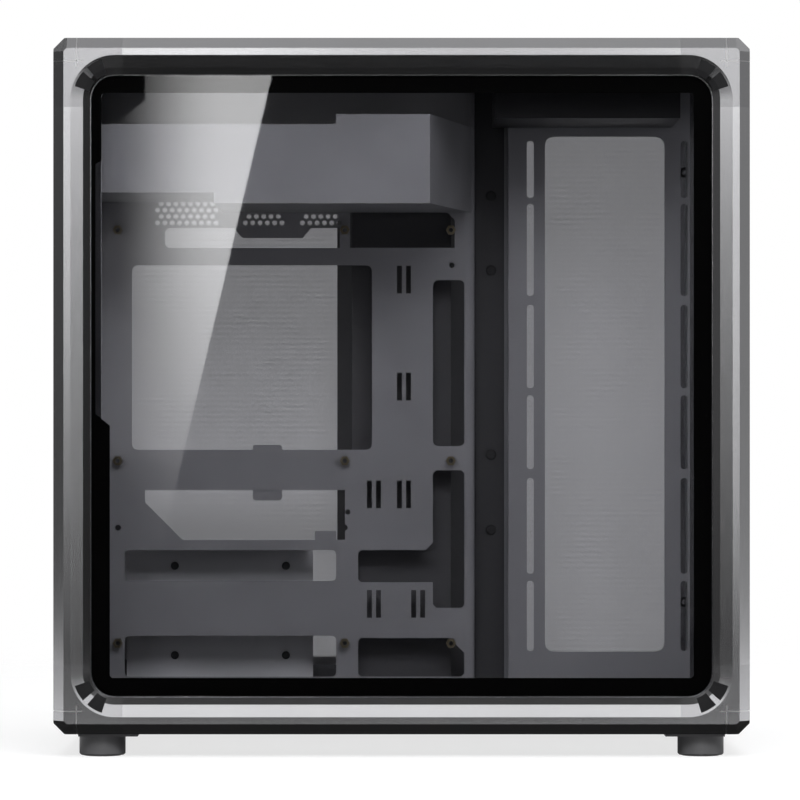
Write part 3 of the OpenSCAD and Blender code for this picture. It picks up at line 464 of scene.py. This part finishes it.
def stud_spots(door):
    """Where the four ball studs of a door stand, across and up."""
    low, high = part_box(door + "_studs")
    return [(x, z) for x in (low.x + stud_r, high.x - stud_r) for z in (low.z + stud_r, high.z - stud_r)]


tape_foam = coated("tape_foam", (0.03, 0.03, 0.032), 0.85, grain=0.0005, depth=0.0001, specular=0.1)
tape_half, tape_width, tape_thick = 0.2008, 0.0066, 0.00012
tape_r, lip_y = 0.0158, 0.137
for side, door in ((-1, "side_glass"), (1, "right_panel")):
    low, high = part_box(door)
    middle = ((low.x + high.x) / 2, (low.z + high.z) / 2)
    holes = [rounded(hole_r, hole_r, hole_r, x, z, 4) for x, z in stud_spots(door)]
    inner_half = tape_half - tape_width
    outlines = [rounded(tape_half, tape_half, tape_r, *middle),
                rounded(inner_half, inner_half, tape_r - tape_width, *middle), *holes]
    tape = cut_sheet(door + "_seat_tape", tape_foam, outlines, tape_thick,
                     lambda u, v, w: (u, side * (lip_y + w), v))
    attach(tape, "chassis")


# Sheet steel inside: pressed and folded, with a dark grey powder coat whose
# fine orange peel breaks up the light.
dark_grey = (0.29, 0.29, 0.3)
dark_coat = coated("dark_powder_coat", dark_grey, 0.5)
for name in ("motherboard_tray", "tray_edges", "psu_shroud", "rear_panel", "psu_bracket", "bottom_panel",
             "top_panel"):
    wear_finish(name, dark_coat)


# Fan bracket: the same sheet and coat, with its recessed strip painted nearly black
# as painted shade. Drive plate and cable channel have a lighter and a darker coat;
# the drive plate's is painted lighter, as painted light on a plate that lies in shade.
def masked_coat(name, colour, painted_shade_colour, edge):
    """Powder coat with a darker colour, painted shade, behind an edge that stands across the length."""
    material, start = new_finish(name)
    x, y, z = place_axes(start)
    peel = speckle(start, 0.0007)
    bump = start.node("ShaderNodeBump", {}, {"Height": peel, "Distance": 0.00004, "Strength": 0.5})
    tone = start.math("LESS_THAN", x, edge).blend(colour, painted_shade_colour)
    start.node("ShaderNodeBsdfPrincipled", {}, {
        "Base Color": tone, "Roughness": peel * 0.16 + 0.42, "Normal": bump}).surface()
    return material


strip_edge = 0.0705
# The near-black behind the strip's edge is painted shade in the recess.
wear_finish("fan_bracket", masked_coat("bracket_coat_painted_shade", dark_grey, (0.055, 0.055, 0.058), strip_edge))
# Painted light: the drive plate's pale coat lifts it out of the shade it lies in.
pale_coat_painted_light = coated("inner_powder_coat_painted_light", (0.58, 0.58, 0.59), 0.5)
wear_finish("ssd_plate", pale_coat_painted_light)
wear_finish("cable_channel", coated("channel_powder_coat", (0.09, 0.09, 0.095), 0.5))


# Cable-side panel: a folded sheet with fine round holes in staggered rows all
# over its face, inside a plain rim, in a light satin paint.
def perforated_paint(name, colour, rough, middle, half, pitch, hole):
    """Satin paint whose field is open where the small holes are."""
    material, start = new_finish(name)
    x, y, z = place_axes(start)
    rise = pitch * math.sqrt(3)

    def nearest(shift):
        across = start.node("ShaderNodeMath", {"operation": "WRAP"}, {
            0: x + pitch * shift, 1: pitch / 2, 2: -pitch / 2})
        upwards = start.node("ShaderNodeMath", {"operation": "WRAP"}, {
            0: z + rise * shift, 1: rise / 2, 2: -rise / 2})
        return start.math("SQRT", across * across + upwards * upwards)

    gap = start.math("MINIMUM", nearest(0.0), nearest(0.5))
    side_in = start.math("LESS_THAN", start.math("ABSOLUTE", x - middle.x), half[0])
    height_in = start.math("LESS_THAN", start.math("ABSOLUTE", z - middle.z), half[1])
    open_here = start.math("LESS_THAN", gap, hole / 2) * side_in * height_in
    tone = toned(speckle(start, 0.06), colour, 0.05)
    peel = speckle(start, 0.0006)
    start.node("ShaderNodeBsdfPrincipled", {}, {
        "Base Color": tone, "Roughness": peel * 0.16 + (rough - 0.08), "Alpha": 1 - open_here}).surface()
    return material


low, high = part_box("right_panel")
panel_rim, hole_pitch, hole_size = 0.012, 0.001, 0.00054
field = ((high.x - low.x) / 2 - panel_rim, (high.z - low.z) / 2 - panel_rim)
wear_finish("right_panel", perforated_paint(
    "perforated_satin_paint", (0.5, 0.5, 0.51), 0.45, (low + high) / 2, field, hole_pitch, hole_size))

# Slot covers: pressed steel strips, each bent over the rear shelf and held by
# one screw with a flanged hexagon head and a cross recess.
cover_coat = coated("cover_powder_coat", (0.12, 0.12, 0.125), 0.45)
for name in [n for n in nodes if n.startswith("slot_cover_")]:
    wear_finish(name, cover_coat)
black_screw = metal("black_oxide", (0.05, 0.05, 0.052), 0.35)


def ring_points(radius, count, ridge=0.0):
    """Points round a circle; every second one may stand out as a ridge."""
    return [((radius - ridge * (i % 2)) * math.cos(math.tau * i / count),
             (radius - ridge * (i % 2)) * math.sin(math.tau * i / count)) for i in range(count)]


def cross_points(length, width):
    """Outline of a cross, anticlockwise."""
    a, b = length / 2, width / 2
    return [(a, -b), (a, b), (b, b), (b, a), (-b, a), (-b, b),
            (-a, b), (-a, -b), (-b, -b), (-b, -a), (b, -a), (b, -b)]


def screw_part(name, outline, top_outline, height, rim, recess, sink, shank, reach):
    """Mesh of a screw that points up: shank below zero, head above, a recess in its top."""
    shape = bmesh.new()

    def level(points, z):
        return [shape.verts.new((x, y, z)) for x, y in points]

    def wall(lower, upper):
        for i in range(len(lower)):
            n = (i + 1) % len(lower)
            shape.faces.new((lower[i], lower[n], upper[n], upper[i]))

    def filled(*loops):
        edges = []
        for loop in loops:
            for a, b in zip(loop, loop[1:] + loop[:1]):
                edges.append(shape.edges.get((a, b)) or shape.edges.new((a, b)))
        bmesh.ops.triangle_fill(shape, use_beauty=True, edges=edges)

    base, shoulder, top = level(outline, 0), level(outline, height - rim), level(top_outline, height)
    wall(base, shoulder)
    wall(shoulder, top)
    mouth, pit = level(recess, height), level(recess, height - sink)
    wall(pit, mouth)
    filled(top, mouth)
    shape.faces.new(pit)
    neck, tip = level(ring_points(shank, 16), 0), level(ring_points(shank, 16), -reach)
    filled(base, neck)
    wall(neck, tip)
    shape.faces.new(tip)
    bmesh.ops.recalc_face_normals(shape, faces=shape.faces[:])
    mesh = bpy.data.meshes.new(name)
    shape.to_mesh(mesh)
    shape.free()
    return bpy.data.objects.new(name, mesh)


def set_out(name, places, part, turn, material):
    """Geometry Nodes: copies of a part at given points, all turned alike, as one mesh."""
    tree = bpy.data.node_groups.new(name + "_rule", "GeometryNodeTree")
    tree.interface.new_socket("Places", in_out="INPUT", socket_type="NodeSocketGeometry")
    part_input = tree.interface.new_socket("Part", in_out="INPUT", socket_type="NodeSocketObject")
    turn_input = tree.interface.new_socket("Turn", in_out="INPUT", socket_type="NodeSocketVector")
    tree.interface.new_socket("Pieces", in_out="OUTPUT", socket_type="NodeSocketGeometry")
    start = Shade(tree)
    given = tree.nodes.new("NodeGroupInput")
    spots = start.node("GeometryNodeMeshToPoints", {}, {0: Shade(tree, given.outputs[0])})
    shape = start.node("GeometryNodeObjectInfo", {}, {"Object": Shade(tree, given.outputs[1])}, "Geometry")
    copies = start.node("GeometryNodeInstanceOnPoints", {}, {
        "Points": spots, "Instance": shape, "Rotation": Shade(tree, given.outputs[2])})
    single = start.node("GeometryNodeRealizeInstances", {}, {0: copies})
    dressed = start.node("GeometryNodeSetMaterial", {}, {"Geometry": single, "Material": material})
    start.node("NodeGroupOutput", {}, {0: dressed})
    return made_by(name, tree, places, {part_input.identifier: part, turn_input.identifier: turn})


def made_by(name, tree, places, inputs):
    """Runs a rule on points, and keeps its result as a plain mesh."""
    seed = add_object(name + "_seed", places, [])
    rule = seed.modifiers.new("rule", "NODES")
    rule.node_group = tree
    for identifier, value in inputs.items():
        rule[identifier] = value
    depsgraph = bpy.context.evaluated_depsgraph_get()
    mesh = bpy.data.meshes.new_from_object(seed.evaluated_get(depsgraph), depsgraph=depsgraph)
    mesh.name = name
    seed.modifiers.remove(rule)
    bpy.data.objects.remove(seed)
    made = bpy.data.objects.new(name, mesh)
    bpy.context.scene.collection.objects.link(made)
    return made


low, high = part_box("slot_screws")
hexagon = ring_points(0.0037, 6)
slot_part = screw_part("slot_screw", hexagon, ring_points(0.0031, 6), 0.0026, 0.0005,
                       cross_points(0.0040, 0.0010), 0.0013, 0.0014, 0.005)
slot_pitch = 0.02032
slot_places = [((low.x + high.x) / 2, low.y + 0.0026, low.z + 0.0032 + slot_pitch * i) for i in range(7)]
slot_heads = set_out("slot_screw_heads", slot_places, slot_part, (math.pi / 2, 0, 0), black_screw)
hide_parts("slot_screws")
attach(slot_heads, "chassis")

# Thumbscrews of the supply plate: turned steel, knurled round the head so that
# they need no tool, with a cross recess as well.
low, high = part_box("thumbscrews")
knurl, knurl_top = ring_points(0.004, 48, 0.0003), ring_points(0.0034, 48)
thumb_part = screw_part("thumbscrew", knurl, knurl_top, 0.006, 0.0006,
                        cross_points(0.0044, 0.0011), 0.0016, 0.0014, 0.0044)
thumb_places = [(low.x + 0.006, y, (low.z + high.z) / 2) for y in (low.y + 0.004, high.y - 0.004)]
thumb_heads = set_out("thumbscrew_heads", thumb_places, thumb_part, (0, -math.pi / 2, 0), black_screw)
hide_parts("thumbscrews")
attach(thumb_heads, "chassis")

# Drive plate: four black pan-head screws hold the drives to it, and a folded
# strip closes the gap between its end and the rear of the tray.
low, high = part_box("ssd_plate")
pan_part = screw_part("drive_screw", ring_points(0.0028, 24), ring_points(0.0021, 24), 0.0016, 0.0006,
                      cross_points(0.0028, 0.0008), 0.0008, 0.0016, 0.004)
across, upwards = (low.x + high.x) / 2, (low.z + high.z) / 2
hole_half_x, hole_half_z, sheet = 0.0383, 0.03086, 0.0012
pan_places = [(across + sx * hole_half_x, high.y - sheet, upwards + sz * hole_half_z)
              for sx in (-1, 1) for sz in (-1, 1)]
pan_heads = set_out("drive_screws", pan_places, pan_part, (math.pi / 2, 0, 0), black_screw)
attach(pan_heads, "chassis")
fold = [(low.x + 0.003, high.y), (low.x - 0.0145, high.y), (low.x - 0.0145, high.y + 0.012),
        (low.x - 0.013, high.y + 0.012), (low.x - 0.013, high.y + 0.001), (low.x + 0.003, high.y + 0.001)]
strip_points = [(x, y, z) for z in (low.z, high.z) for x, y in fold]
size = len(fold)
strip_faces = [list(range(size)), list(range(size, 2 * size))]
strip_faces += [(i, (i + 1) % size, (i + 1) % size + size, i + size) for i in range(size)]
# The strip has the drive plate's coat, made lighter as painted light.
strip = meshed("drive_plate_strip", pale_coat_painted_light, (strip_points, strip_faces))
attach(strip, "chassis")

# Fan bracket: black nylon push rivets, each with a cross in its pin, close the
# four holes of the recessed strip.
rivet_part = screw_part("push_rivet", ring_points(0.0036, 24), ring_points(0.0027, 24), 0.0014, 0.0006,
                        cross_points(0.0026, 0.0007), 0.0006, 0.0023, 0.0035)
strip_x, strip_y = 0.0615, 0.0738
rivet_places = [(strip_x, strip_y, z) for z in (0.142, 0.1935, 0.32, 0.371)]
rivet_nylon = coated("rivet_nylon", (0.03, 0.03, 0.031), 0.5)
rivets = set_out("strip_rivets", rivet_places, rivet_part, (math.pi / 2, 0, 0), rivet_nylon)
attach(rivets, "chassis")

# Standoffs: brass hexagons, threaded into the tray, dulled by handling. Ball
# studs and socket shells are plated steel.
wear_finish("standoffs", metal("dull_brass", (0.3, 0.26, 0.18), 0.4))
steel = metal("polished_steel", (0.7, 0.7, 0.72), 0.2)
for name in ("side_glass_studs", "right_panel_studs", "usb_sockets"):
    wear_finish(name, steel)

# Stud catches: nylon rings snapped into the lips of the posts, behind the holes
# that the ball studs of the two side panels snap into.
nylon = coated("black_nylon", (0.03, 0.03, 0.032), 0.5)


def turned_ring(name, profile, count):
    """A closed outline of radius and height, turned round the upright axis."""
    verts = [(r * math.cos(math.tau * i / count), r * math.sin(math.tau * i / count), z)
             for i in range(count) for r, z in profile]
    size = len(profile)
    faces = []
    for i in range(count):
        for j in range(size):
            n, m = (i + 1) % count, (j + 1) % size
            faces.append((i * size + j, n * size + j, n * size + m, i * size + m))
    shape = bmesh.new()
    mesh = bpy.data.meshes.new(name)
    mesh.from_pydata(verts, [], faces)
    shape.from_mesh(mesh)
    bmesh.ops.recalc_face_normals(shape, faces=shape.faces[:])
    shape.to_mesh(mesh)
    shape.free()
    return bpy.data.objects.new(name, mesh)


catch_profile = [(0.0021, 0.0), (0.0034, 0.0), (0.0034, 0.0012), (0.0029, 0.0012), (0.0029, 0.0034),
                 (0.0024, 0.0040), (0.0020, 0.0036)]
catch_part = turned_ring("stud_catch", catch_profile, 20)
lip_back = 0.1349
for side, door, way in (("left", "side_glass", -1), ("right", "right_panel", 1)):
    places = [(x, way * lip_back, z) for x, z in stud_spots(door)]
    catches = set_out("stud_catches_" + side, places, catch_part, (way * math.pi / 2, 0, 0), nylon)
    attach(catches, "chassis")

# Feet: moulded plastic cups on square plates, each with a rubber pad pressed
# into its underside.
foot_plastic = coated("foot_plastic", (0.12, 0.12, 0.125), 0.45)
for name in [n for n in nodes if n.startswith("foot_") and n != "foot_pads"]:
    wear_finish(name, foot_plastic)
wear_finish("foot_pads", coated("pad_rubber", (0.03, 0.03, 0.03), 0.7))

# Dust filters: plastic frames with a woven nylon mesh welded across each
# window; the threads cross at right angles.
black_plastic = coated("black_plastic", (0.02, 0.02, 0.022), 0.4)
thread_black = coated("nylon_thread", (0.045, 0.045, 0.048), 0.35, grain=0.0004)


def filter_plastic(name, windows, size):
    """Black plastic, clear over each window, where the threads take the sheet's place."""
    material, start = new_finish(name)
    x, y, z = place_axes(start)
    clear = 0.0
    for middle in windows:
        across = start.math("LESS_THAN", start.math("ABSOLUTE", x - middle[0]), size[0] / 2)
        clear = across * start.math("LESS_THAN", start.math("ABSOLUTE", y - middle[1]), size[1] / 2) + clear
    peel = speckle(start, 0.0007)
    tone = peel.range(0.3, 0.7).blend((0.018, 0.018, 0.02), (0.022, 0.022, 0.024))
    start.node("ShaderNodeBsdfPrincipled", {}, {
        "Base Color": tone, "Roughness": peel * 0.16 + 0.32, "Alpha": 1 - clear}).surface()
    return material


def woven(name, places, size, pitch, thread):
    """Geometry Nodes: two crossing rows of threads in each window."""
    tree = bpy.data.node_groups.new(name + "_rule", "GeometryNodeTree")
    tree.interface.new_socket("Windows", in_out="INPUT", socket_type="NodeSocketGeometry")
    named = [tree.interface.new_socket(label, in_out="INPUT", socket_type="NodeSocketFloat")
             for label in ("Length", "Width", "Pitch", "Thread")]
    tree.interface.new_socket("Weave", in_out="OUTPUT", socket_type="NodeSocketGeometry")
    start = Shade(tree)
    given = tree.nodes.new("NodeGroupInput")
    windows, length, width, step, thick = [Shade(tree, given.outputs[i]) for i in range(5)]

    def vector(x, y, z):
        return start.node("ShaderNodeCombineXYZ", {}, {0: x, 1: y, 2: z})

    def row(along, across, lift):
        """Threads that run along the first axis, or along the second."""
        count = start.math("FLOOR", start.math("DIVIDE", across, step))
        first = (count - 1) * step * -0.5
        if along is length:
            box, begin, move = vector(along, thick, thick), vector(0, first, lift), vector(0, step, 0)
        else:
            box, begin, move = vector(thick, along, thick), vector(first, 0, lift), vector(step, 0, 0)
        line = start.node("GeometryNodeMeshLine", {}, {
            "Count": count, "Start Location": begin, "Offset": move})
        strand = start.node("GeometryNodeMeshCube", {}, {"Size": box})
        return start.node("GeometryNodeInstanceOnPoints", {}, {"Points": line, "Instance": strand})

    both = tree.nodes.new("GeometryNodeJoinGeometry")
    for strands in (row(width, length, thick * 0.5), row(length, width, thick * -0.5)):
        tree.links.new(strands.out, both.inputs[0])
    spots = start.node("GeometryNodeMeshToPoints", {}, {0: windows})
    copies = start.node("GeometryNodeInstanceOnPoints", {}, {
        "Points": spots, "Instance": Shade(tree, both.outputs[0])})
    single = start.node("GeometryNodeRealizeInstances", {}, {0: copies})
    dressed = start.node("GeometryNodeSetMaterial", {}, {"Geometry": single, "Material": thread_black})
    start.node("NodeGroupOutput", {}, {0: dressed})
    values = (*size, pitch, thread)
    return made_by(name, tree, places, {s.identifier: v for s, v in zip(named, values)})


thread_pitch, thread_size, half_sheet = 0.0012, 0.0003, 0.0005
low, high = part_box("top_filter")
bay = (high.x - low.x - 0.016) / 3
middle = ((low.x + high.x) / 2, (low.y + high.y) / 2)
roof_windows = [(middle[0] + i * (bay + 0.003), middle[1], low.z + half_sheet) for i in (-1, 0, 1)]
roof_size = (bay - 0.0062, high.y - low.y - 0.0162)
wear_finish("top_filter", filter_plastic("roof_filter_plastic", roof_windows, roof_size))
roof_weave = woven("top_filter_weave", roof_windows, roof_size, thread_pitch, thread_size)
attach(roof_weave, "roof")
low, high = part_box("bottom_filter")
window_step = 0.111
floor_windows = [(i * window_step, (low.y + high.y) / 2, high.z - half_sheet) for i in (-1, 0, 1)]
floor_size = (0.1028, 0.1118)
wear_finish("bottom_filter", filter_plastic("floor_filter_plastic", floor_windows, floor_size))
floor_weave = woven("bottom_filter_weave", floor_windows, floor_size, thread_pitch, thread_size)
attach(floor_weave, "floor_filter")

# Front sockets and button: a housing and bezel of black plastic over a small
# board; the button is turned aluminium with an anodised face.
for name in ("io_housing", "io_bezel", "audio_jack"):
    wear_finish(name, black_plastic)
wear_finish("io_board", coated("solder_mask", (0.02, 0.05, 0.03), 0.3))
wear_finish("usb_tongues", coated("tongue_plastic", (0.02, 0.06, 0.3), 0.4))
wear_finish("power_switch", coated("switch_plastic", (0.1, 0.1, 0.1), 0.4))
wear_finish("power_button", metal("turned_button", (0.5, 0.5, 0.52), 0.3))


# Glass panels: toughened, lightly tinted sheets with a black ceramic border
# printed on the inside, which hides the seats they lie on.
def tinted_glass(name, tint):
    """Clear glass with a tint, which mirrors more where it is seen at a low angle."""
    material, start = new_finish(name)
    turned_away = start.node("ShaderNodeLayerWeight", {}, {"Blend": 0.5}, "Facing")
    least_shine = 0.04
    shine = start.math("POWER", turned_away, 5) * (1 - least_shine) + least_shine
    clear = start.node("ShaderNodeBsdfTransparent", {}, {"Color": (*tint, 1)})
    gloss = start.node("ShaderNodeBsdfGlossy", {}, {"Color": (1, 1, 1, 1), "Roughness": 0.01})
    start.node("ShaderNodeMixShader", {}, {0: shine, 1: clear, 2: gloss}).surface()
    return material


glass = tinted_glass("tinted_glass", (0.81, 0.81, 0.825))
for name in ("side_glass", "front_glass"):
    wear_finish(name, glass)

black_print = coated("black_print", (0.002, 0.002, 0.002), 0.6, depth=0.0, specular=0.0)
edge_gap, edge_r, print_thick, sunk_in = 0.0004, 0.0151, 0.0001, 0.00005
glass_low, glass_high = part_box("side_glass")
middle = ((glass_low.x + glass_high.x) / 2, (glass_low.z + glass_high.z) / 2)
half_w, half_h = (glass_high.x - glass_low.x) / 2, (glass_high.z - glass_low.z) / 2
edge = rounded(half_w - edge_gap, half_h - edge_gap, edge_r, *middle)
# Outline of the clear part, clockwise from the top left, with steps in its left edge
sight = [(-0.1940, 0.4280), (-0.1926, 0.4294), (0.1874, 0.4294), (0.1888, 0.4280), (0.1888, 0.0528),
         (0.1874, 0.0514), (-0.1871, 0.0514), (-0.1885, 0.0528), (-0.1885, 0.2145), (-0.1978, 0.2220),
         (-0.1978, 0.3835), (-0.1940, 0.3855)]
side_print = cut_sheet("side_glass_border", black_print, (edge, sight), print_thick,
                       lambda u, v, w: (u, glass_high.y - sunk_in + w, v))
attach(side_print, "glass_door")

glass_low, glass_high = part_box("front_glass")
middle = ((glass_low.y + glass_high.y) / 2, (glass_low.z + glass_high.z) / 2)
half_w, half_h = (glass_high.y - glass_low.y) / 2, (glass_high.z - glass_low.z) / 2
border, sight_r = 0.0115, 0.003
edge = rounded(half_w - edge_gap, half_h - edge_gap, edge_r, *middle)
sight = rounded(half_w - border, half_h - border, sight_r, *middle)
front_print = cut_sheet("front_glass_border", black_print, (edge, sight), print_thick,
                        lambda u, v, w: (glass_low.x + sunk_in - w, u, v))
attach(front_print, "chassis")
